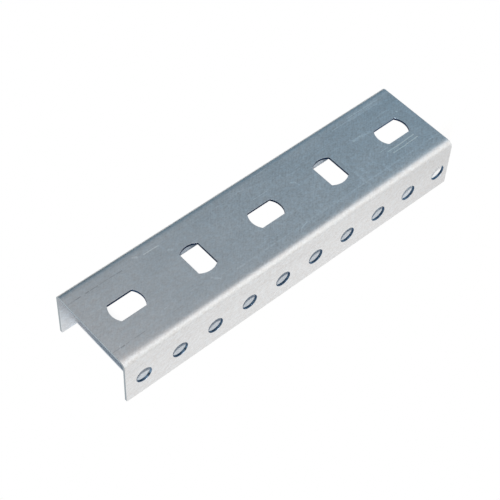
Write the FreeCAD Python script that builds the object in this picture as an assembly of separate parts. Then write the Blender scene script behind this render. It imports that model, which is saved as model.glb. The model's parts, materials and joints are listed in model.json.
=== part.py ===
import FreeCAD, Part
import os
from math import cos, pi

# A U channel folded from one strip of galvanised sheet steel, punched along its web and flanges.
# It stands on the edges of its two flanges with the web on top.
# X runs along the channel, Y across the web and Z up. The origin is the middle of its footprint.

# Driving dimensions of the folded strip, in millimetres
channel_length = 246.5
web_width = 60.0  # over the outer faces of the two flanges
flange_height = 35.0  # from the edge of a flange to the outer face of the web
sheet_thickness = 1.5
bend_inner_radius = 2.0
end_corner_radius = 0.8  # on the corners where a flange's edge meets an end

# Holes along the middle of the web: round punches with two flats, each a quarter turn from the last
web_hole_diameter = 21.4
web_hole_across_flats = 13.3
web_hole_pitch = 50.0
web_hole_start = 25.0  # from the left end to the first centre

# Round holes through both flanges, in facing pairs
flange_hole_diameter = 10.5
flange_hole_pitch = 25.0
flange_hole_start = 12.5  # from the left end to the first centre
flange_hole_height = 14.5  # from the edge of the flange to the centres

# The least sheet left between the last hole of a row and the right end
end_land = 2.0

# How far a punch reaches past the sheet on each side
punch_overrun = 1.0

# How near two places must be to count as one
same_place = 0.001


def bent_line(half_width, height, bend_radius):
    """The edges of an upside-down U with two quarter bends, at the left end, from -Y to +Y."""
    left = -channel_length / 2
    bend_start = height - bend_radius
    bend_end = half_width - bend_radius
    bend_middle = bend_radius * cos(pi / 4)
    near_foot = FreeCAD.Vector(left, -half_width, 0)
    near_bend_start = FreeCAD.Vector(left, -half_width, bend_start)
    near_bend_middle = FreeCAD.Vector(left, -bend_end - bend_middle, bend_start + bend_middle)
    near_bend_end = FreeCAD.Vector(left, -bend_end, height)
    far_bend_end = FreeCAD.Vector(left, bend_end, height)
    far_bend_middle = FreeCAD.Vector(left, bend_end + bend_middle, bend_start + bend_middle)
    far_bend_start = FreeCAD.Vector(left, half_width, bend_start)
    far_foot = FreeCAD.Vector(left, half_width, 0)
    return [
        Part.LineSegment(near_foot, near_bend_start).toShape(),
        Part.Arc(near_bend_start, near_bend_middle, near_bend_end).toShape(),
        Part.LineSegment(near_bend_end, far_bend_end).toShape(),
        Part.Arc(far_bend_end, far_bend_middle, far_bend_start).toShape(),
        Part.LineSegment(far_bend_start, far_foot).toShape(),
    ]


def flange_edge(side):
    """The short line across the sheet at the edge of the flange on one side."""
    left = -channel_length / 2
    outer = FreeCAD.Vector(left, side * web_width / 2, 0)
    inner = FreeCAD.Vector(left, side * (web_width / 2 - sheet_thickness), 0)
    return Part.LineSegment(outer, inner).toShape()


def folded_strip():
    """The channel before it is punched: its section drawn at the left end and pushed along X."""
    outside = bent_line(web_width / 2, flange_height, bend_inner_radius + sheet_thickness)
    inside = bent_line(web_width / 2 - sheet_thickness, flange_height - sheet_thickness, bend_inner_radius)
    outline = Part.Wire(outside + [flange_edge(1)] + inside[::-1] + [flange_edge(-1)])
    return Part.Face(outline).extrude(FreeCAD.Vector(channel_length, 0, 0))


def stations(start, pitch, hole_diameter):
    """The X of each hole in a row that starts at the left end and stops short of the right one."""
    last = channel_length - end_land - hole_diameter / 2
    count = int((last - start) // pitch) + 1
    return [start + pitch * index - channel_length / 2 for index in range(count)]


def web_punch():
    """A round punch with a flat on each side. The flats run along X, and it stands in the web at X = 0."""
    depth = sheet_thickness + 2 * punch_overrun
    bottom = flange_height - sheet_thickness - punch_overrun
    round_stock = Part.makeCylinder(web_hole_diameter / 2, depth, FreeCAD.Vector(0, 0, bottom))
    corner = FreeCAD.Vector(-web_hole_diameter / 2, -web_hole_across_flats / 2, bottom)
    between_flats = Part.makeBox(web_hole_diameter, web_hole_across_flats, depth, corner)
    return round_stock.common(between_flats).removeSplitter()


def web_punches():
    """One punch for each hole in the web, every second one turned a quarter turn."""
    punches = []
    for index, x in enumerate(stations(web_hole_start, web_hole_pitch, web_hole_diameter)):
        punch = web_punch()
        if index % 2:
            punch.rotate(FreeCAD.Vector(0, 0, 0), FreeCAD.Vector(0, 0, 1), 90)
        punch.translate(FreeCAD.Vector(x, 0, 0))
        punches.append(punch)
    return punches


def flange_punches():
    """One long round punch for each facing pair of holes in the flanges."""
    reach = web_width + 2 * punch_overrun
    punches = []
    for x in stations(flange_hole_start, flange_hole_pitch, flange_hole_diameter):
        start = FreeCAD.Vector(x, -reach / 2, flange_hole_height)
        punches.append(Part.makeCylinder(flange_hole_diameter / 2, reach, start, FreeCAD.Vector(0, 1, 0)))
    return punches


def end_corners(body):
    """The four short edges where the edge of a flange meets an end of the channel."""
    corners = []
    for edge in body.Edges:
        box = edge.BoundBox
        lies_across = box.XLength < same_place and box.ZLength < same_place
        is_at_foot = abs(box.ZMin) < same_place
        if lies_across and is_at_foot:
            corners.append(edge)
    return corners


def make_channel():
    """The folded strip with its holes punched and the corners of its flanges rounded."""
    punched = folded_strip().cut(web_punches() + flange_punches())
    return punched.makeFillet(end_corner_radius, end_corners(punched)).Solids[0]


u_channel = make_channel()
os.makedirs("parts", exist_ok=True)
u_channel.exportStep("parts/u_channel.step")
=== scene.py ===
import json
from collections import namedtuple
from math import atan2, cos, exp, log, pi, radians, sin, sqrt

import bpy
from mathutils import Matrix, Vector


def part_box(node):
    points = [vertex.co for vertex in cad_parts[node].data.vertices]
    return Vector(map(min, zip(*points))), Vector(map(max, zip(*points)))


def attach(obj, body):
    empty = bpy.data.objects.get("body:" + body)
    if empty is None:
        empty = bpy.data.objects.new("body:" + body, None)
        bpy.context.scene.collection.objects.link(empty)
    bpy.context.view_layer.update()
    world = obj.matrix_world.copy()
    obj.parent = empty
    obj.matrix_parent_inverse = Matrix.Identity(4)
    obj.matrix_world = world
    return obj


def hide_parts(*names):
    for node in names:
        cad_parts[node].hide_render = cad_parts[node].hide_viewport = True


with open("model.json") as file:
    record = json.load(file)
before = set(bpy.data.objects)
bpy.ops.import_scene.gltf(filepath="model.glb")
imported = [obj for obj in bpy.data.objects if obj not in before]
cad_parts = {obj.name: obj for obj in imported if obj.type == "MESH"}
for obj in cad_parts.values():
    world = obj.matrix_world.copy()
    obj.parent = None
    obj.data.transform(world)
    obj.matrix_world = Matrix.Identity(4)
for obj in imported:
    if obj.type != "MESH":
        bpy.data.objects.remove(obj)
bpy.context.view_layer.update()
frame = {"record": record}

MM = 0.001
NODE = "u_channel"
SLOT = "galvanised_steel"

# Sizes taken from the frame
low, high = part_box(NODE)
LENGTH = high[0] - low[0]
WIDTH = high[1] - low[1]
HEIGHT = high[2] - low[2]
MOUNTS = {mount["name"]: mount for mount in frame["record"]["mounts"]}
FIRST_PAIR = MOUNTS["flange_hole_pair_1"]
SECOND_PAIR = MOUNTS["flange_hole_pair_2"]
WEB_HOLES = [MOUNTS[name] for name in sorted(MOUNTS) if name.startswith("web_hole_")]
FLANGE_HOLE_RADIUS = FIRST_PAIR["dims"]["r_mm"] * MM
FLANGE_HOLE_HEIGHT = FIRST_PAIR["pos_m"][2]
FLANGE_HOLE_START = FIRST_PAIR["pos_m"][0]
FLANGE_HOLE_PITCH = SECOND_PAIR["pos_m"][0] - FLANGE_HOLE_START
FLANGE_HOLE_COUNT = int((LENGTH / 2 - FLANGE_HOLE_START) / FLANGE_HOLE_PITCH) + 1
WEB_HOLE_RADIUS = WEB_HOLES[0]["dims"]["r_mm"] * MM
SHEET = WEB_HOLES[0]["dims"]["length_mm"] * MM

# Sizes that the frame doesn't hold
BEND_INNER_RADIUS = 2.0 * MM
WEB_HOLE_HALF_FLATS = 13.3 / 2 * MM
WEB_HOLE_CORNER = 0.35 * MM  # the punch's worn corners, where a flat meets the round
END_CORNER_RADIUS = 0.8 * MM
NEAR_BEND_SOFTNESS = 0.8 * MM  # how softly the flats run into the bend
FAR_BEND_SOFTNESS = 0.6 * MM
NEAR_BEND_WANDER = 0.8 * MM  # how far the near bend wanders over the channel's length
LEFT_SOFTNESS = 0.7 * MM  # what the left end adds to the near bend's softness
LEFT_REACH = 22 * MM  # how far from the left end it is felt

# How far from a cut edge the sheet's outer and inner faces begin to bend. They roll round into the cut, but
# where the punch left a burr as it came out, the inner face rises to it.
PUNCHED_ROLLS = (0.12 * MM, 0.08 * MM)
SAWN_ROLLS = (0.06 * MM, 0.06 * MM)
FLANGE_HOLE_BURR = 0.12 * MM
WEB_HOLE_BURRS = (0.17 * MM, 0.13 * MM, 0.0, 0.0, 0.0)

# The flat strip that the channel is folded from. v runs across it from the middle of the web.
BEND_RADIUS = BEND_INNER_RADIUS + SHEET
HALF_WEB = WIDTH / 2 - BEND_RADIUS
BEND_LENGTH = BEND_RADIUS * pi / 2
FLANGE_START = HALF_WEB + BEND_LENGTH
FLANGE_FLAT = HEIGHT - BEND_RADIUS
HALF_STRIP = FLANGE_START + FLANGE_FLAT
FLANGE_HOLE_V = HALF_STRIP - FLANGE_HOLE_HEIGHT

# How finely the mesh is divided
STEPS_PER_HALF_PITCH = 8
STEPS_UP_FLANGE = 16
STEPS_ROUND_BEND = 8
BEND_BORDER = 3 * MM  # the finely divided flat strips on both sides of a bend
STEPS_ACROSS_BORDER = 4
STEPS_ACROSS_WEB = 16
STEPS_ROUND_ROLL = 3
STEPS_ROUND_END_CORNER = 6
STEPS_ROUND_HOLE_CORNER = 2
RINGS_ROUND_HOLE = 5
RING_GROWTH = 1.6
PLACE_DIGITS = 4  # the decimals of a millimetre that tell two places apart

# The steel's colours and roughness. A tint multiplies another colour.
WHITE = (1.0, 1.0, 1.0, 1.0)
WARM_ZINC = (0.688, 0.713, 0.742, 1.0)
COOL_ZINC = (0.652, 0.713, 0.770, 1.0)
COOL_SHARE = (2.0, -0.5)  # the mottle times the first plus the second gives the share of the cool zinc
# painted light on the web: warmer toward its left end, cooler toward its right
WEB_LEFT_PAINTED_WARMTH = (1.14, 1.06, 1.02, 1.0)
WEB_RIGHT_PAINTED_COOLNESS = (0.92, 0.97, 1.0, 1.0)
SAWN_STEEL = (0.27, 0.36, 0.44)
# painted shade on the cut ends of the flanges
FLANGE_END_PAINTED_SHADE = (0.90, 0.87, 0.84, 1.0)
# the punched walls' burnished and fractured steel, with painted shade: darker and bluer than the sawn steel
BURNISHED_STEEL_AND_SHADE = (0.205, 0.325, 0.48, 1.0)
FRACTURED_STEEL_AND_SHADE = (0.155, 0.27, 0.40, 1.0)
BURNISHED_DEPTH = 0.55  # in millimetres, from which on a punched wall is fractured
# painted shade that darkens the walls of the web's holes further
WEB_WALL_PAINTED_SHADE = (0.09, 0.22, 0.36, 1.0)
ROUGHNESS = 0.38
ROUGHNESS_CHANGE = 0.06  # over the clouds' whole range
CUT_ROUGHNESS = 0.34

# The zinc's patterns: the size of their grain in millimetres along the channel, across it and into the sheet,
# the angle that they slant by, the noise's detail, their contrast as a share of the brightness, and their
# height in millimetres
Pattern = namedtuple("Pattern", "grain_size slant detail contrast height")
PATTERNS = {
    "grain": Pattern((1.3, 1.1, 1.2), 0.0, 2.0, 0.35, 0.010),
    "mottle": Pattern((3.4, 2.4, 3.0), 0.0, 3.0, 0.28, 0.045),
    "clouds": Pattern((26, 14, 20), 0.0, 2.0, 0.06, 0.0),
    "streaks": Pattern((45, 0.8, 3.0), 0.0, 3.0, 0.06, 0.002),
    "strokes": Pattern((7.0, 0.7, 3.0), radians(45), 2.0, 0.22, 0.0),
}
NOISE_ROUGHNESS = 0.55

# The zinc's broad changes of tone, as shares of the brightness: the gain of the web's patterns, and painted
# shade and highlights on the bends and flanges. A reach is a pair of places in millimetres, where the change
# is nothing and where it is full. A band has one for each of its two rims.
WEB_CONTRAST = 0.60  # how much the web's patterns gain toward the right
# painted shade that dims the highlight on the bends
BEND_PAINTED_SHADE = 0.14  # at the left end, fading out toward the middle of the length
# painted shade along the upper part of both flanges, just below the bends
FLANGE_TOP_PAINTED_SHADE = 0.035
# painted shade left of the middle and painted highlight at the right end, where the web runs into the bends
BEND_RIM_PAINTED_LIGHT = (-0.03, 0.11)  # where the web runs into the bends, left of the middle and at the right end

# along the channel, from the middle of its length
WEB_CONTRAST_REACH = (-45.0, -5.0)
BEND_PAINTED_SHADE_REACH = (-20.0, -123.0)
BEND_RIM_REACH = (0.0, 110.0)

# across the folded strip, on both sides of the middle of the web
WEB_REACH = (HALF_WEB / MM + 1.5, HALF_WEB / MM - 1.5)
WEB_RIGHT_PAINTED_COOLNESS_REACH = (28.0, 20.0)
BEND_BAND = ((26.3, 28.3), (31.5, 29.7))
FLANGE_TOP_BAND = ((30.0, 33.0), (46.0, 40.0))
BEND_RIM_BAND = ((23.5, 25.0), (27.5, 26.0))

# Marks on the outer face: start and end in millimetres from the left end and from the middle of the web
# along the folded strip, width, and strength, which is above zero for a pale mark and below it for a dark one
MARKS = [
    # dark lines from the folding, along both sides of the web and up the near flange
    ((0.6, 20.1), (5.5, 20.1), 0.5, -0.18),
    ((5.8, 20.2), (9.5, 20.2), 0.6, -0.28),
    ((12.6, 20.2), (15.0, 20.2), 0.7, -0.26),
    ((15.6, 20.2), (21.0, 20.2), 0.6, -0.20),
    ((22.0, 20.2), (28.0, 20.2), 0.6, -0.12),
    ((28.6, 20.2), (33.0, 20.1), 0.6, -0.18),
    ((33.5, 20.0), (37.4, 19.9), 0.7, -0.26),
    ((0.4, -19.6), (5.0, -19.6), 0.5, -0.18),
    ((5.6, -19.7), (8.4, -19.7), 0.8, -0.28),
    ((9.5, -19.6), (11.5, -19.6), 0.5, -0.2),
    ((15.2, -19.6), (22.0, -19.5), 0.6, -0.18),
    ((40.5, -19.4), (48.5, -19.4), 0.5, -0.1),
    ((1.0, -37.6), (15.0, -37.6), 0.8, -0.07),
    ((15.5, -37.6), (60.0, -37.5), 0.8, -0.05),
    ((64.0, -37.5), (150.0, -37.4), 0.7, -0.03),
    # pale line along the near side of the web, broken
    ((78.2, -19.7), (94.0, -19.6), 1.4, 0.035),
    ((78.0, -16.8), (94.0, -16.7), 0.5, 0.06),
    ((86.5, -19.4), (108.0, -19.3), 1.1, 0.07),
    ((108.0, -19.3), (119.0, -19.2), 1.0, 0.11),
    ((119.0, -19.2), (136.0, -19.3), 0.9, 0.05),
    ((136.0, -19.3), (156.0, -19.3), 1.5, 0.11),
    ((156.0, -19.3), (174.0, -19.3), 1.0, 0.09),
    ((174.0, -19.3), (188.0, -19.3), 0.9, 0.13),
    ((188.0, -19.4), (216.0, -19.3), 1.2, 0.13),
    ((216.0, -19.3), (244.5, -19.2), 0.9, 0.10),
    ((131.0, -22.8), (134.2, -20.2), 0.6, 0.2),
    ((134.2, -20.4), (138.5, -19.3), 0.6, 0.18),
    # pale scratches by the fifth web hole
    ((208.0, -7.9), (214.5, -7.9), 0.4, 0.3),
    ((211.5, -10.4), (219.0, -10.7), 0.8, 0.45),
    ((219.0, -10.7), (233.5, -10.2), 0.75, 0.55),
    ((213.5, -13.2), (222.5, -13.3), 0.75, 0.45),
    ((222.5, -13.3), (234.2, -12.9), 0.75, 0.5),
    ((212.5, -11.6), (221.0, -11.6), 0.35, 0.2),
    ((222.0, -14.4), (231.5, -14.3), 0.35, 0.14),
    ((200.0, 8.8), (214.0, 8.1), 2.2, 0.12),
    ((201.0, 8.7), (209.0, 8.5), 1.3, 0.14),
    ((208.0, 8.2), (215.0, 7.7), 0.8, 0.12),
    ((223.5, 13.6), (235.0, 14.0), 0.6, 0.12),
    ((229.0, 14.6), (233.6, 14.3), 0.7, 0.1),
    ((238.2, 9.9), (239.6, 9.0), 0.9, 0.3),
    # pale scratches toward the far side of the web
    ((46.6, 23.2), (49.6, 21.9), 1.3, 0.26),
    ((53.0, 21.1), (63.6, 20.9), 0.7, 0.36),
    ((65.3, 15.4), (68.5, 13.2), 1.4, 0.12),
    ((85.5, 21.3), (93.5, 21.3), 0.4, 0.1),
    ((103.0, 21.3), (111.0, 21.3), 0.4, 0.1),
    ((116.0, 22.0), (127.5, 22.0), 0.4, 0.12),
    ((126.0, 12.3), (136.5, 12.2), 0.5, 0.2),
    ((130.0, 19.9), (136.0, 19.5), 1.4, 0.06),
    ((137.0, 25.4), (147.5, 25.3), 0.5, 0.2),
    ((151.0, 8.3), (153.4, 6.6), 1.0, 0.2),
    ((153.2, 6.7), (154.0, 3.6), 0.9, 0.14),
    ((157.0, 3.2), (158.6, 2.2), 1.6, 0.1),
    ((152.5, 13.1), (163.0, 13.0), 0.5, 0.1),
    ((180.0, 17.3), (195.0, 14.5), 0.5, 0.12),
    ((197.0, 22.6), (211.0, 22.4), 0.7, 0.18),
    ((211.0, 23.2), (237.0, 22.9), 3.4, 0.07),
    ((211.5, 24.2), (236.5, 24.0), 0.6, 0.18),
    ((211.6, 22.9), (228.5, 22.8), 0.9, 0.12),
    ((210.5, 21.9), (234.0, 21.7), 0.6, 0.16),
    # small faint ones across the middle of the web
    ((5.3, -18.9), (7.9, -17.1), 0.5, 0.12),
    ((39.0, -14.8), (43.2, -14.6), 0.4, 0.12),
    ((56.5, -14.6), (60.2, -14.5), 0.4, 0.1),
    ((71.6, -14.6), (75.6, -18.8), 1.2, 0.14),
    # broad faint bands across the near half of the web
    ((185.6, 8.0), (185.6, -25.5), 2.4, 0.06),
    ((185.6, -10.0), (185.6, -24.5), 1.4, 0.05),
    ((190.0, -9.5), (190.8, -16.0), 2.2, 0.10),
    ((202.8, -15.5), (202.8, -24.5), 1.6, 0.10),
    ((207.0, -18.0), (207.4, -23.5), 1.4, 0.06),
]
MARK_DEPTH = 0.1  # in millimetres, below which the sheet has no marks
MARK_WOBBLE = 0.5  # in millimetres, how far the mottle moves a mark from side to side
MARK_PATCHINESS = (1.4, 0.3)  # the grain times the first plus the second gives the share of a mark's strength

# The floor glows evenly round the channel, as a light table does. Under the channel it is matt, with painted
# shade in its colour and a faint glow of painted fill light. Light meets the matt part under the whole
# channel.
# The camera sees it behind the near flange's holes and under the left end, with soft rims.
FLOOR_REACH = 3.0
FLOOR_GLOW = (1.082, 1.018, 0.962, 1.0)  # the light on the channel, where the camera sees plain white
GLOW_FALL = (55 * MM, 135 * MM)  # the X between which the glow falls off toward the right
GLOW_PAST_RIGHT_END = 0.90
# a faint bluish glow of the matt part: painted fill light in the shade under the channel
PAINTED_FILL_GLOW = (0.05, 0.07, 0.10, 1.0)
# the matt part's colour is painted shade: lighter toward the right end, darker and bluer under the left end
MATT_PAINTED_SHADE_LEFT = (0.68, 0.70, 0.70, 1.0)
MATT_PAINTED_SHADE_RIGHT = (0.98, 0.96, 0.93, 1.0)
LEFT_FLOOR_PAINTED_SHADE = (0.44, 0.52, 0.58, 1.0)
FAR_LEFT_FLOOR_PAINTED_SHADE = (0.72, 0.74, 0.76, 1.0)
HALF_INSIDE = WIDTH / 2 - SHEET
MATT_START = (-130 * MM, -105 * MM)  # the X over which the matt part takes over from the glow
SHADE_START = (-113.0 * MM, -112.4 * MM)  # the same for what the camera sees of it
NEAR_SHADE = (7 * MM, -14 * MM)  # the Y over which the shade behind the near flange comes in
LEFT_SHADE = (-90 * MM, -111 * MM)  # the X over which the left end's shade comes in
LEFT_PAINTED_SHADE_REACH = (-108 * MM, -112 * MM)  # the same for the darker, bluer painted shade under the left end
FAR_PAINTED_SHADE_REACH = (7 * MM, 25 * MM)  # the Y over which the lighter painted shade toward the far flange comes in
RIGHT_SHADE = (166 * MM, 157 * MM)  # the X over which the shade's slanting right rim comes in, at Y = 0
RIGHT_SLANT = 1.442  # how far that rim moves in X for each metre in Y

# The light: soft patches of a far dome, each with its direction, the cosine at its rim and its colour
DOME_PATCHES = [
    ((1, -1, 1.0), 0.5, (1.019, 0.955, 0.894)),
    ((-0.35, 0.35, 0.9), 0.7, (0.628, 0.592, 0.566)),
    ((0, -1, 0.15), 0.3, (0.438, 0.408, 0.370)),
    ((0, -0.2, 1), 0.7, (0.373, 0.319, 0.279)),
    ((0.7, 0.5, 0.6), 0.6, (0.093, 0.148, 0.186)),
    ((1, 0.2, 0.3), 0.4, (0.064, 0.113, 0.148)),
    ((0, 1, 0.2), 0.4, (0.046, 0.077, 0.095)),
]
LAMP_PLACE = Vector((-327.71, -329.77, 680.09)) * MM
LAMP_RADIUS = 12 * MM
LAMP_POWER = 14.0

# The Mix node's sockets for its first value, its second value and its result
MIX_SOCKETS = {"RGBA": (6, 7, 2), "FLOAT": (2, 3, 0)}

# One face of the sheet: its depth, the direction it looks in along the outward one, and how far from the rim
# of a hole and from the strip's own edge it begins to bend
SheetFace = namedtuple("SheetFace", "depth lift hole_roll edge_roll")


def softened_step(reach, softness):
    """Nothing well below zero and reach itself well above it, with a soft change between."""
    return softness * log(1 + exp(reach / softness))


def facing(x, v):
    """The outward and the across directions of the surface, which turns softly into and out of each bend."""
    side = 1 if v > 0 else -1
    reach = abs(v)
    softness = FAR_BEND_SOFTNESS
    if side < 0:
        extra = LEFT_SOFTNESS * exp(-(x + LENGTH / 2) / LEFT_REACH)
        softness = NEAR_BEND_SOFTNESS + extra
        reach += NEAR_BEND_WANDER * x / LENGTH - extra / 2
    turned_in = softened_step(reach - HALF_WEB, softness)
    turned_out = softened_step(reach - FLANGE_START, softness)
    angle = side * (turned_in - turned_out) / BEND_RADIUS
    return Vector((0, sin(angle), cos(angle))), Vector((0, cos(angle), -sin(angle)))


def fold(x, v, depth):
    """The place in the folded channel of a place in the flat strip, at a depth below its outer face."""
    side = 1 if v > 0 else -1
    angle = side * min(max(abs(v) - HALF_WEB, 0), BEND_LENGTH) / BEND_RADIUS
    outward = Vector((0, sin(angle), cos(angle)))
    if abs(v) <= HALF_WEB:
        return Vector((x, v, HEIGHT)) - outward * depth
    if abs(v) <= FLANGE_START:
        return Vector((x, side * HALF_WEB, HEIGHT - BEND_RADIUS)) + outward * (BEND_RADIUS - depth)
    return Vector((x, side * WIDTH / 2, HALF_STRIP - abs(v))) - outward * depth


class StripMesh:
    """The folded strip's mesh. A place is made once, with the exact normal of the surface there."""

    def __init__(self):
        self.number = {}
        self.places = []
        self.normals = []
        self.flat_places = []
        self.shares = {"sawn_share": [], "punched_share": []}
        self.faces = []

    def point(self, x, v, depth, tilt=(0.0, 0.0), lift=1.0, sawn_share=0.0, punched_share=0.0):
        """tilt is the normal's part in the flat strip's plane, lift its part along the outward direction."""
        key = tuple(round(value / MM, PLACE_DIGITS) for value in (x, v, depth))
        if key not in self.number:
            outward, across = facing(x, v)
            self.number[key] = len(self.places)
            self.places.append(fold(x, v, depth))
            self.normals.append(Vector((tilt[0], 0, 0)) + across * tilt[1] + outward * lift)
            self.flat_places.append((x, v, depth))
            self.shares["sawn_share"].append(sawn_share)
            self.shares["punched_share"].append(punched_share)
        return self.number[key]

    def face(self, corners):
        """A face with its corners turned the way that makes it face out of the sheet."""
        outward = sum((self.normals[corner] for corner in corners), Vector())
        area = Vector()
        for here, after in zip(corners, corners[1:] + corners[:1]):
            area += self.places[here].cross(self.places[after])
        self.faces.append(corners if area.dot(outward) > 0 else corners[::-1])

    def build(self, name):
        mesh = bpy.data.meshes.new(name)
        mesh.from_pydata(self.places, [], self.faces)
        flat = mesh.attributes.new("flat_place", "FLOAT_VECTOR", "POINT")
        flat.data.foreach_set("vector", [value for place in self.flat_places for value in place])
        for share_name, values in self.shares.items():
            share = mesh.attributes.new(share_name, "FLOAT", "POINT")
            share.data.foreach_set("value", values)
        mesh.shade_smooth()
        mesh.normals_split_custom_set_from_vertices([normal.normalized() for normal in self.normals])
        return mesh


def spread(start, end, steps):
    """Evenly spaced values from start to end, both included."""
    return [start + (end - start) * step / steps for step in range(steps + 1)]


def flange_hole_stations():
    return [FLANGE_HOLE_START + FLANGE_HOLE_PITCH * index for index in range(FLANGE_HOLE_COUNT)]


def ticks_along():
    """The mesh's X lines: the same number in each half of each flange hole's cell."""
    stations = flange_hole_stations()
    cell_ends = [station + FLANGE_HOLE_PITCH / 2 for station in stations[:-1]] + [LENGTH / 2]
    ticks = [-LENGTH / 2]
    for station, cell_end in zip(stations, cell_ends):
        ticks += spread(ticks[-1], station, STEPS_PER_HALF_PITCH)[1:]
        ticks += spread(station, cell_end, STEPS_PER_HALF_PITCH)[1:]
    return ticks


def arc(centre, radius, start, end, steps):
    """An outline's arc. A point is its place and its direction into the sheet."""
    found = []
    for angle in spread(start, end, steps):
        way = (cos(angle), sin(angle))
        found.append(((centre[0] + radius * way[0], centre[1] + radius * way[1]), way))
    return found


def round_hole(steps):
    """The four sides of a round outline, from +X."""
    sides = []
    for quarter in range(4):
        middle = quarter * pi / 2
        sides.append(arc((0, 0), FLANGE_HOLE_RADIUS, middle - pi / 4, middle + pi / 4, steps[quarter]))
    return sides


def turned(points, quarters):
    """An outline's points turned by quarter turns about the hole's centre."""
    for _ in range(quarters):
        points = [((-place[1], place[0]), (-way[1], way[0])) for place, way in points]
    return points


def double_d_hole(steps, flats_across):
    """The four sides of a round outline with two flats, from +X. The flats run along X or across it."""
    corner = (
        sqrt((WEB_HOLE_RADIUS - WEB_HOLE_CORNER) ** 2 - (WEB_HOLE_HALF_FLATS - WEB_HOLE_CORNER) ** 2),
        WEB_HOLE_HALF_FLATS - WEB_HOLE_CORNER,
    )
    round_end = atan2(corner[1], corner[0])
    middle = (round_end + pi / 2) / 2
    round_side_index = 1 if flats_across else 0
    corner_steps = STEPS_ROUND_HOLE_CORNER
    round_steps = steps[round_side_index] - 2 * corner_steps
    flat_steps = steps[1 - round_side_index] - 2 * corner_steps
    round_side = arc((corner[0], -corner[1]), WEB_HOLE_CORNER, -middle, -round_end, corner_steps)
    round_side += arc((0, 0), WEB_HOLE_RADIUS, -round_end, round_end, round_steps)[1:]
    round_side += arc(corner, WEB_HOLE_CORNER, round_end, middle, corner_steps)[1:]
    flat_xs = spread(corner[0], -corner[0], flat_steps)
    flat_side = arc(corner, WEB_HOLE_CORNER, middle, pi / 2, corner_steps)
    flat_side += [((x, WEB_HOLE_HALF_FLATS), (0.0, 1.0)) for x in flat_xs[1:]]
    flat_side += arc((-corner[0], corner[1]), WEB_HOLE_CORNER, pi / 2, pi - middle, corner_steps)[1:]
    sides = [round_side, flat_side, turned(round_side, 2), turned(flat_side, 2)]
    if flats_across:
        sides = [turned(side, 1) for side in sides[3:] + sides[:3]]
    return sides


def rolled_rim(roll):
    """The rim where a face rolls into a cut: rows of distance from the wall, depth, tilt and lift."""
    rim = []
    for angle in spread(0.0, pi / 2, STEPS_ROUND_ROLL):
        rim.append((roll * (1 - sin(angle)), roll * (1 - cos(angle)), sin(angle), cos(angle)))
    return rim


def burred_rim(roll, burr):
    """The same rows for a rim where a face rises to the tip of a burr at the wall."""
    rise = Vector((-burr, roll)).normalized()
    tip = (rise + Vector((1, 0))).normalized()
    return [
        (roll, 0.0, 0.0, 1.0),
        (roll / 2, -burr / 2, rise.x, rise.y),
        (0.0, -burr, tip.x, tip.y),
        (0.0, 0.0, 1.0, 0.0),
    ]


def edge_profile(rolls, burr):
    """The same rows for a whole cut edge, from the outer face to the inner one."""
    outer_roll, inner_roll = rolls
    inner_rim = burred_rim(inner_roll + burr, burr) if burr else rolled_rim(inner_roll)
    turned_over = [(offset, SHEET - depth, tilt, -lift) for offset, depth, tilt, lift in inner_rim]
    return rolled_rim(outer_roll) + turned_over[::-1]


def cut_edge(strip, outline, rolls, burr, share_name):
    """The cut edge along a closed outline of places and directions into the sheet."""
    rows = []
    for offset, depth, tilt, lift in edge_profile(rolls, burr):
        row = []
        for (x, v), way in outline:
            place = (x + offset * way[0], v + offset * way[1])
            tilted = (-tilt * way[0], -tilt * way[1])
            row.append(strip.point(*place, depth, tilted, lift, **{share_name: max(tilt, 0.0)}))
        rows.append(row)
    count = len(outline)
    for upper, lower in zip(rows, rows[1:]):
        for here in range(count):
            after = (here + 1) % count
            strip.face((upper[here], upper[after], lower[after], lower[here]))


def is_strip_corner(x, v):
    return abs(abs(x) - LENGTH / 2) < MM and abs(abs(v) - HALF_STRIP) < MM


def end_corner(x, v):
    """The rounded corner at the strip's corner (x, v), as outline points running counterclockwise."""
    side_x = 1 if x > 0 else -1
    side_v = 1 if v > 0 else -1
    centre = (side_x * (LENGTH / 2 - END_CORNER_RADIUS), side_v * (HALF_STRIP - END_CORNER_RADIUS))
    middle = atan2(side_v, side_x)
    found = arc(centre, END_CORNER_RADIUS, middle - pi / 4, middle + pi / 4, STEPS_ROUND_END_CORNER)
    return [(place, (-way[0], -way[1])) for place, way in found]


def cell_sides(xs, vs):
    """The four sides of a cell of the strip, counterclockwise from its lower right corner."""
    return [
        [(xs[-1], v) for v in vs],
        [(x, vs[-1]) for x in reversed(xs)],
        [(xs[0], v) for v in reversed(vs)],
        [(x, vs[0]) for x in xs],
    ]


def inset(place, amount):
    """A place on the strip's outer edge, moved in by amount. Any other place stays."""
    x, v = place
    x = min(max(x, -LENGTH / 2 + amount), LENGTH / 2 - amount)
    v = min(max(v, -HALF_STRIP + amount), HALF_STRIP - amount)
    return x, v


def both_faces(burr=0.0):
    """The sheet's outer and inner face, where the holes have the given burr."""
    outer = SheetFace(0.0, 1.0, PUNCHED_ROLLS[0], SAWN_ROLLS[0])
    inner = SheetFace(SHEET, -1.0, PUNCHED_ROLLS[1] + burr, SAWN_ROLLS[1])
    return outer, inner


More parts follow.
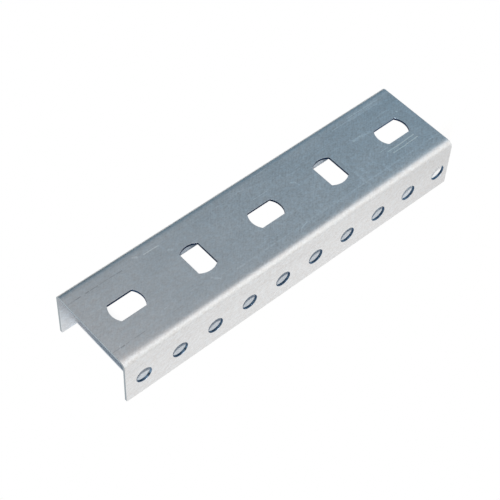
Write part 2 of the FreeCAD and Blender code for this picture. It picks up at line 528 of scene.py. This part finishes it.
def holed_cell(strip, xs, vs, hole_sides, centre, sheet_face):
    """One face of the sheet in a rectangular cell with a hole, in rings from the hole to the cell's sides."""
    roll = sheet_face.hole_roll
    hole = []
    border = []
    for hole_side, cell_side in zip(hole_sides, cell_sides(xs, vs)):
        for ((x, v), way), edge_place in zip(hole_side[:-1], cell_side[:-1]):
            hole.append((centre[0] + x + roll * way[0], centre[1] + v + roll * way[1]))
            border.append(edge_place)
    count = len(hole)
    rings = []
    for ring in range(RINGS_ROUND_HOLE):
        share = (ring / RINGS_ROUND_HOLE) ** RING_GROWTH
        row = []
        for near, far in zip(hole, border):
            far = inset(far, sheet_face.edge_roll)
            place = [a + (b - a) * share for a, b in zip(near, far)]
            row.append(strip.point(*place, sheet_face.depth, lift=sheet_face.lift))
        rings.append(row)
    for inner, outer in zip(rings, rings[1:]):
        for here in range(count):
            after = (here + 1) % count
            strip.face((inner[here], inner[after], outer[after], outer[here]))
    for here in range(count):
        after = (here + 1) % count
        chain = border_chain(strip, border[here], border[after], sheet_face)
        strip.face((rings[-1][after], rings[-1][here], *chain))


def border_chain(strip, start, end, sheet_face):
    """The points along a cell's side from start to end, with half of a rounded corner where there is one."""
    roll = sheet_face.edge_roll
    half_corner = STEPS_ROUND_END_CORNER // 2
    if is_strip_corner(*end):
        rounded = end_corner(*end)[:half_corner + 1]
    elif is_strip_corner(*start):
        rounded = end_corner(*start)[half_corner:]
    else:
        rounded = []
    places = [(place[0] + roll * way[0], place[1] + roll * way[1]) for place, way in rounded]
    if not is_strip_corner(*start):
        places.insert(0, inset(start, roll))
    if not is_strip_corner(*end):
        places.append(inset(end, roll))
    return [strip.point(*place, sheet_face.depth, lift=sheet_face.lift) for place in places]


def bend_vs(side):
    """The mesh's lines round one bend and its borders, in order of v."""
    lines = spread(HALF_WEB - BEND_BORDER, HALF_WEB, STEPS_ACROSS_BORDER)
    lines += spread(HALF_WEB, FLANGE_START, STEPS_ROUND_BEND)[1:]
    lines += spread(FLANGE_START, FLANGE_START + BEND_BORDER, STEPS_ACROSS_BORDER)[1:]
    return sorted(side * v for v in lines)


def flange_vs(side):
    """The mesh's lines up one flange, in order of v."""
    return sorted(side * v for v in spread(FLANGE_START + BEND_BORDER, HALF_STRIP, STEPS_UP_FLANGE))


def web_vs():
    return spread(-HALF_WEB + BEND_BORDER, HALF_WEB - BEND_BORDER, STEPS_ACROSS_WEB)


def perimeter(xs):
    """The strip's whole outline, counterclockwise, with the same stops as the mesh's lines."""
    vs = flange_vs(-1) + bend_vs(-1)[1:] + web_vs()[1:] + bend_vs(1)[1:] + flange_vs(1)[1:]
    half_length = LENGTH / 2
    outline = [((x, -HALF_STRIP), (0.0, 1.0)) for x in xs[1:-1]]
    outline += end_corner(half_length, -HALF_STRIP)
    outline += [((half_length, v), (-1.0, 0.0)) for v in vs[1:-1]]
    outline += end_corner(half_length, HALF_STRIP)
    outline += [((x, HALF_STRIP), (0.0, -1.0)) for x in reversed(xs[1:-1])]
    outline += end_corner(-half_length, HALF_STRIP)
    outline += [((-half_length, v), (1.0, 0.0)) for v in reversed(vs[1:-1])]
    outline += end_corner(-half_length, -HALF_STRIP)
    return outline


def bend_faces(strip, xs, vs, sheet_face):
    """One face of the sheet round a bend."""
    for x, next_x in zip(xs, xs[1:]):
        for v, next_v in zip(vs, vs[1:]):
            points = []
            for corner in ((x, v), (next_x, v), (next_x, next_v), (x, next_v)):
                place = inset(corner, sheet_face.edge_roll)
                points.append(strip.point(*place, sheet_face.depth, lift=sheet_face.lift))
            strip.face(tuple(points))


def punch(strip, xs, vs, sides, centre, burr):
    """One cell of the strip with a hole through it: both of its faces and the cut edge between them."""
    for sheet_face in both_faces(burr):
        holed_cell(strip, xs, vs, sides, centre, sheet_face)
    outline = [point for side in sides for point in side[:-1]]
    shifted = [((centre[0] + place[0], centre[1] + place[1]), way) for place, way in outline]
    cut_edge(strip, shifted, PUNCHED_ROLLS, burr, "punched_share")


def channel_mesh():
    """The channel as it is made: a flat strip, punched with rolled edges, then folded along its two bends."""
    strip = StripMesh()
    xs = ticks_along()
    flange_cell = 2 * STEPS_PER_HALF_PITCH
    web_cell = 2 * flange_cell
    flange_steps = [STEPS_UP_FLANGE, flange_cell, STEPS_UP_FLANGE, flange_cell]
    web_steps = [STEPS_ACROSS_WEB, web_cell, STEPS_ACROSS_WEB, web_cell]

    for index, x in enumerate(flange_hole_stations()):
        cell_xs = xs[index * flange_cell:(index + 1) * flange_cell + 1]
        sides = round_hole(flange_steps)
        for side in (-1, 1):
            punch(strip, cell_xs, flange_vs(side), sides, (x, side * FLANGE_HOLE_V), FLANGE_HOLE_BURR)

    for index, (hole, burr) in enumerate(zip(WEB_HOLES, WEB_HOLE_BURRS)):
        cell_xs = xs[index * web_cell:(index + 1) * web_cell + 1]
        sides = double_d_hole(web_steps, flats_across=index % 2 == 1)
        punch(strip, cell_xs, web_vs(), sides, (hole["pos_m"][0], 0.0), burr)

    for side in (-1, 1):
        for sheet_face in both_faces():
            bend_faces(strip, xs, bend_vs(side), sheet_face)
    cut_edge(strip, perimeter(xs), SAWN_ROLLS, 0.0, "sawn_share")
    return strip.build("channel_skin")


def add_object(name, data):
    """A new object in the scene."""
    new_object = bpy.data.objects.new(name, data)
    bpy.context.scene.collection.objects.link(new_object)
    return new_object


def add_channel(material):
    """The detailed channel, which stands for the plain solid."""
    channel = add_object("channel_skin", channel_mesh())
    channel.data.materials.append(material)
    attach(channel, "root")
    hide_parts(NODE)


def empty_tree(owner):
    """The node tree of a material or a world, without the nodes that it starts with."""
    owner.use_nodes = True
    owner.node_tree.nodes.clear()
    return owner.node_tree


def add_node(tree, kind, inputs=(), **settings):
    """A shader node with its settings and inputs. An input is a value, a socket or a node's first output."""
    node = tree.nodes.new(kind)
    for name, value in settings.items():
        setattr(node, name, value)
    for key, value in dict(inputs).items():
        if isinstance(value, bpy.types.Node):
            value = value.outputs[0]
        if isinstance(value, bpy.types.NodeSocket):
            tree.links.new(value, node.inputs[key])
        else:
            node.inputs[key].default_value = value
    return node


def shader_math(tree, operation, *values):
    """One step of shader arithmetic on plain values and sockets."""
    return add_node(tree, "ShaderNodeMath", enumerate(values), operation=operation).outputs[0]


def vector_math(tree, operation, *values):
    """One step of shader arithmetic on vectors or colours."""
    node = add_node(tree, "ShaderNodeVectorMath", enumerate(values), operation=operation)
    return node.outputs["Value" if operation == "DOT_PRODUCT" else "Vector"]


def scaled(tree, vector, factor):
    """A vector or a colour times a factor."""
    return add_node(tree, "ShaderNodeVectorMath", {0: vector, "Scale": factor}, operation="SCALE").outputs[0]


def product(tree, first, *others):
    for other in others:
        first = shader_math(tree, "MULTIPLY", first, other)
    return first


def added(tree, total, *parts):
    """A total with more parts added to it, each given with its weight."""
    for part, weight in parts:
        total = shader_math(tree, "MULTIPLY_ADD", part, weight, total)
    return total


def mixed(tree, share, first, second, data_type="RGBA"):
    """The first colour or value where the share is 0 and the second where it is 1."""
    first_socket, second_socket, result_socket = MIX_SOCKETS[data_type]
    inputs = {0: share, first_socket: first, second_socket: second}
    return add_node(tree, "ShaderNodeMix", inputs, data_type=data_type).outputs[result_socket]


def ramp(tree, value, zero_at, one_at, shape="LINEAR"):
    """A share that runs from 0 at one value to 1 at the other and stays there."""
    ends = {"Value": value, "From Min": zero_at, "From Max": one_at}
    return add_node(tree, "ShaderNodeMapRange", ends, interpolation_type=shape).outputs[0]


def band(tree, value, rise, fall):
    """A share that is 1 between two ramps and 0 beyond them."""
    return product(tree, ramp(tree, value, *rise), ramp(tree, value, *fall))


def attribute(tree, name, output):
    return add_node(tree, "ShaderNodeAttribute", attribute_name=name).outputs[output]


def separate_axes(tree, place):
    axes = add_node(tree, "ShaderNodeSeparateXYZ", {0: place}).outputs
    return axes["X"], axes["Y"], axes["Z"]


def pattern_noise(tree, place, pattern):
    """A pattern's noise over a place in millimetres."""
    if pattern.slant:
        turn = {"Vector": place, "Angle": -pattern.slant}
        place = add_node(tree, "ShaderNodeVectorRotate", turn, rotation_type="Z_AXIS").outputs[0]
    stretched = vector_math(tree, "MULTIPLY", place, [1 / length for length in pattern.grain_size])
    settings = {"Vector": stretched, "Scale": 1.0, "Detail": pattern.detail, "Roughness": NOISE_ROUGHNESS}
    return add_node(tree, "ShaderNodeTexNoise", settings).outputs[0]


def mark_strength(tree, place):
    """The strength of the marks at a place on the outer face: above zero where pale, below it where dark."""
    total = 0.0
    for start, end, width, strength in MARKS:
        start = Vector((*start, 0))
        end = Vector((*end, 0))
        start.x -= LENGTH / 2 / MM
        end.x -= LENGTH / 2 / MM
        along = (end - start).normalized()
        across = Vector((-along.y, along.x, 0))
        at_along = vector_math(tree, "DOT_PRODUCT", place, along)
        at_across = vector_math(tree, "DOT_PRODUCT", place, across)
        middle = along.dot(start + end) / 2
        in_length = shader_math(tree, "COMPARE", at_along, middle, (end - start).length / 2)
        in_width = shader_math(tree, "COMPARE", at_across, across.dot(start), width / 2)
        total = added(tree, total, (product(tree, in_length, in_width), strength))
    return total


def wear(tree, place, depth, noises):
    """What the marks add to the tone. They wobble with the mottle and are patchy as the grain is."""
    wobble = shader_math(tree, "MULTIPLY_ADD", noises["mottle"], MARK_WOBBLE, -MARK_WOBBLE / 2)
    wobbled = vector_math(tree, "ADD", place, scaled(tree, (0, 1, 0), wobble))
    on_outer_face = shader_math(tree, "COMPARE", depth, 0.0, MARK_DEPTH)
    patchiness = shader_math(tree, "MULTIPLY_ADD", noises["grain"], *MARK_PATCHINESS)
    return product(tree, mark_strength(tree, wobbled), on_outer_face, patchiness)


def zinc_tone(tree, x, from_middle, on_web, noises, marks):
    """The zinc's brightness, with its patterns, its marks, their gain on the web toward the right, and
    painted shade and highlights near the bends and flange tops.
    """
    contrasts = [(noises[name], pattern.contrast) for name, pattern in PATTERNS.items()]
    half_range = sum(pattern.contrast for pattern in PATTERNS.values()) / 2
    patterns = added(tree, -half_range, *contrasts)
    to_right = product(tree, ramp(tree, x, *WEB_CONTRAST_REACH), on_web)
    gain = added(tree, 1.0, (to_right, WEB_CONTRAST))
    tone = added(tree, 1.0, (patterns, gain))
    bend = product(tree, band(tree, from_middle, *BEND_BAND), ramp(tree, x, *BEND_PAINTED_SHADE_REACH))
    flange_top = band(tree, from_middle, *FLANGE_TOP_BAND)
    bend_rim = band(tree, from_middle, *BEND_RIM_BAND)
    rim_painted_light = mixed(tree, ramp(tree, x, *BEND_RIM_REACH), *BEND_RIM_PAINTED_LIGHT, "FLOAT")
    return added(
        tree,
        tone,
        (marks, 1.0),
        (bend, -BEND_PAINTED_SHADE),
        (flange_top, -FLANGE_TOP_PAINTED_SHADE),
        (bend_rim, rim_painted_light),
    )


def zinc_colour(tree, x, from_middle, on_web, mottle):
    """The zinc's colour, which changes with the mottle, and on the web has painted light: warmer toward the
    left end, cooler toward the right.
    """
    zinc = mixed(tree, shader_math(tree, "MULTIPLY_ADD", mottle, *COOL_SHARE), WARM_ZINC, COOL_ZINC)
    to_right = shader_math(tree, "MULTIPLY_ADD", x, MM / LENGTH, 0.5)
    right_painted_coolness = mixed(tree, ramp(tree, from_middle, *WEB_RIGHT_PAINTED_COOLNESS_REACH), WHITE, WEB_RIGHT_PAINTED_COOLNESS)
    tint = mixed(tree, on_web, WHITE, mixed(tree, to_right, WEB_LEFT_PAINTED_WARMTH, right_painted_coolness))
    return vector_math(tree, "MULTIPLY", zinc, tint)


def sawn_colour(tree, on_web):
    """The cut ends and edges, with painted shade that makes them a little darker on the flanges."""
    return vector_math(tree, "MULTIPLY", SAWN_STEEL, mixed(tree, on_web, FLANGE_END_PAINTED_SHADE, WHITE))


def punched_colour(tree, depth, on_web):
    """The walls of the holes, burnished near the outer face and fractured below, painted darker and bluer
    than the sawn steel as shade, and darker still in the web.
    """
    fractured = shader_math(tree, "GREATER_THAN", depth, BURNISHED_DEPTH)
    steel = mixed(tree, fractured, BURNISHED_STEEL_AND_SHADE, FRACTURED_STEEL_AND_SHADE)
    return vector_math(tree, "MULTIPLY", steel, mixed(tree, on_web, WHITE, WEB_WALL_PAINTED_SHADE))


def galvanised_steel():
    """Dull zinc with a mottled grain, rolling streaks, forming lines and scratches, and bare cut edges, with
    painted light and shade on the web, bends, flanges and cut edges.
    """
    material = bpy.data.materials.new(SLOT)
    tree = empty_tree(material)
    sawn = attribute(tree, "sawn_share", "Fac")
    punched = attribute(tree, "punched_share", "Fac")
    place = scaled(tree, attribute(tree, "flat_place", "Vector"), 1 / MM)
    x, y, depth = separate_axes(tree, place)
    from_middle = shader_math(tree, "ABSOLUTE", y)
    on_web = ramp(tree, from_middle, *WEB_REACH)
    noises = {name: pattern_noise(tree, place, pattern) for name, pattern in PATTERNS.items()}

    marks = wear(tree, place, depth, noises)
    tone = zinc_tone(tree, x, from_middle, on_web, noises, marks)
    colour = scaled(tree, zinc_colour(tree, x, from_middle, on_web, noises["mottle"]), tone)
    colour = mixed(tree, sawn, colour, sawn_colour(tree, on_web))
    colour = mixed(tree, punched, colour, punched_colour(tree, depth, on_web))

    cut = shader_math(tree, "ADD", sawn, punched)
    least_roughness = ROUGHNESS - ROUGHNESS_CHANGE / 2
    roughness = added(tree, least_roughness, (noises["clouds"], ROUGHNESS_CHANGE))
    roughness = mixed(tree, cut, roughness, CUT_ROUGHNESS, "FLOAT")

    heights = [(noises[name], pattern.height) for name, pattern in PATTERNS.items() if pattern.height]
    relief = product(tree, added(tree, 0.0, *heights), shader_math(tree, "SUBTRACT", 1.0, cut))
    bump = add_node(tree, "ShaderNodeBump", {"Strength": 1.0, "Distance": MM, "Height": relief})
    inputs = {"Base Color": colour, "Metallic": 1.0, "Roughness": roughness, "Normal": bump}
    shader = add_node(tree, "ShaderNodeBsdfPrincipled", inputs)
    add_node(tree, "ShaderNodeOutputMaterial", {"Surface": shader})
    return material


def matt_share(tree, x, y):
    """How much of the floor is matt for the light on it: 1 under the channel, less at its left end."""
    under = shader_math(tree, "COMPARE", y, 0.0, WIDTH / 2)
    before_end = shader_math(tree, "LESS_THAN", x, LENGTH / 2)
    return product(tree, under, before_end, ramp(tree, x, *MATT_START))


def seen_matt_share(tree, x, y):
    """How much of the matt part the camera sees: the shade behind the near flange and at the left end."""
    behind_near_flange = ramp(tree, y, *NEAR_SHADE, "SMOOTHSTEP")
    at_left_end = ramp(tree, x, *LEFT_SHADE, "SMOOTHSTEP")
    slanting = shader_math(tree, "MULTIPLY_ADD", y, -RIGHT_SLANT, x)
    return product(
        tree,
        shader_math(tree, "MAXIMUM", behind_near_flange, at_left_end),
        ramp(tree, x, *SHADE_START),
        ramp(tree, slanting, *RIGHT_SHADE, "SMOOTHSTEP"),
        shader_math(tree, "COMPARE", y, 0.0, HALF_INSIDE),
    )


def matt_floor(tree, x, y):
    """The floor's matt part, which takes the channel's own shadow, with painted shade in its colour and a
    faint glow of painted fill light.
    """
    to_right = shader_math(tree, "MULTIPLY_ADD", x, 1 / LENGTH, 0.5)
    to_far_side = ramp(tree, y, *FAR_PAINTED_SHADE_REACH, "SMOOTHSTEP")
    left_painted_shade = mixed(tree, to_far_side, LEFT_FLOOR_PAINTED_SHADE, FAR_LEFT_FLOOR_PAINTED_SHADE)
    colour = mixed(tree, to_right, MATT_PAINTED_SHADE_LEFT, MATT_PAINTED_SHADE_RIGHT)
    colour = mixed(tree, ramp(tree, x, *LEFT_PAINTED_SHADE_REACH), colour, left_painted_shade)
    matt = add_node(tree, "ShaderNodeBsdfDiffuse", {"Color": colour})
    painted_fill_glow = add_node(tree, "ShaderNodeEmission", {"Color": PAINTED_FILL_GLOW, "Strength": 1.0})
    return add_node(tree, "ShaderNodeAddShader", {0: matt, 1: painted_fill_glow})


def floor_surface():
    """The white glow, with the matt part in it. From below the floor is clear."""
    material = bpy.data.materials.new("floor")
    tree = empty_tree(material)
    camera_ray = add_node(tree, "ShaderNodeLightPath").outputs["Is Camera Ray"]
    x, y, _ = separate_axes(tree, add_node(tree, "ShaderNodeTexCoord").outputs["Object"])
    strength = mixed(tree, ramp(tree, x, *GLOW_FALL), 1.0, GLOW_PAST_RIGHT_END, "FLOAT")
    strength = mixed(tree, camera_ray, strength, 1.0, "FLOAT")
    glow_colour = mixed(tree, camera_ray, FLOOR_GLOW, WHITE)
    glow = add_node(tree, "ShaderNodeEmission", {"Color": glow_colour, "Strength": strength})
    share = mixed(tree, camera_ray, matt_share(tree, x, y), seen_matt_share(tree, x, y), "FLOAT")
    surface = add_node(tree, "ShaderNodeMixShader", {0: share, 1: glow, 2: matt_floor(tree, x, y)})
    underside = add_node(tree, "ShaderNodeNewGeometry").outputs["Backfacing"]
    clear = add_node(tree, "ShaderNodeBsdfTransparent")
    surface = add_node(tree, "ShaderNodeMixShader", {0: underside, 1: surface, 2: clear})
    add_node(tree, "ShaderNodeOutputMaterial", {"Surface": surface})
    return material


def add_floor():
    """A plain white floor that lights the channel from below."""
    mesh = bpy.data.meshes.new("floor")
    sides = ((-1, -1), (1, -1), (1, 1), (-1, 1))
    corners = [(side_x * FLOOR_REACH, side_y * FLOOR_REACH, 0) for side_x, side_y in sides]
    mesh.from_pydata(corners, [], [(0, 1, 2, 3)])
    mesh.materials.append(floor_surface())
    floor = add_object("floor", mesh)


def add_studio():
    """A dome of soft patches of light and a small lamp just above the camera."""
    world = bpy.data.worlds.new("studio")
    bpy.context.scene.world = world
    tree = empty_tree(world)
    way = add_node(tree, "ShaderNodeTexCoord").outputs["Generated"]
    light = (0.0, 0.0, 0.0)
    for direction, edge, colour in DOME_PATCHES:
        cosine = vector_math(tree, "DOT_PRODUCT", way, Vector(direction).normalized())
        patch = ramp(tree, cosine, edge, 1.0, "SMOOTHSTEP")
        light = vector_math(tree, "ADD", light, scaled(tree, colour, patch))
    camera_ray = add_node(tree, "ShaderNodeLightPath").outputs["Is Camera Ray"]
    seen = mixed(tree, camera_ray, light, WHITE)
    background = add_node(tree, "ShaderNodeBackground", {"Color": seen, "Strength": 1.0})
    add_node(tree, "ShaderNodeOutputWorld", {"Surface": background})

    data = bpy.data.lights.new("lamp", "POINT")
    data.energy = LAMP_POWER
    data.shadow_soft_size = LAMP_RADIUS
    lamp = add_object("lamp", data)
    lamp.location = LAMP_PLACE


def add_camera():
    """The photograph's viewpoint, worked out from the edges and holes of the channel in it."""
    azimuth = radians(-43.646)
    elevation = radians(52.088)
    roll = radians(3.211)
    distance = 808.36 * MM
    target = Vector((-10.052, -0.793, 11.649)) * MM
    focal_length_px = 1403.18
    photo_width_px = 500
    data = bpy.data.cameras.new("camera")
    data.sensor_fit = "HORIZONTAL"
    data.sensor_width = 36.0
    data.lens = focal_length_px / photo_width_px * data.sensor_width
    data.clip_start = 0.01
    turn = Matrix.Rotation(azimuth, 4, "Z") @ Matrix.Rotation(pi / 2 - elevation, 4, "X")
    turn = turn @ Matrix.Rotation(roll, 4, "Z")
    backward = turn.to_3x3() @ Vector((0, 0, 1))
    camera = add_object("camera", data)
    camera.matrix_world = Matrix.Translation(target + backward * distance) @ turn
    bpy.context.scene.camera = camera


add_channel(galvanised_steel())
add_floor()
add_studio()
add_camera()
bpy.context.scene.view_settings.view_transform = "Standard"
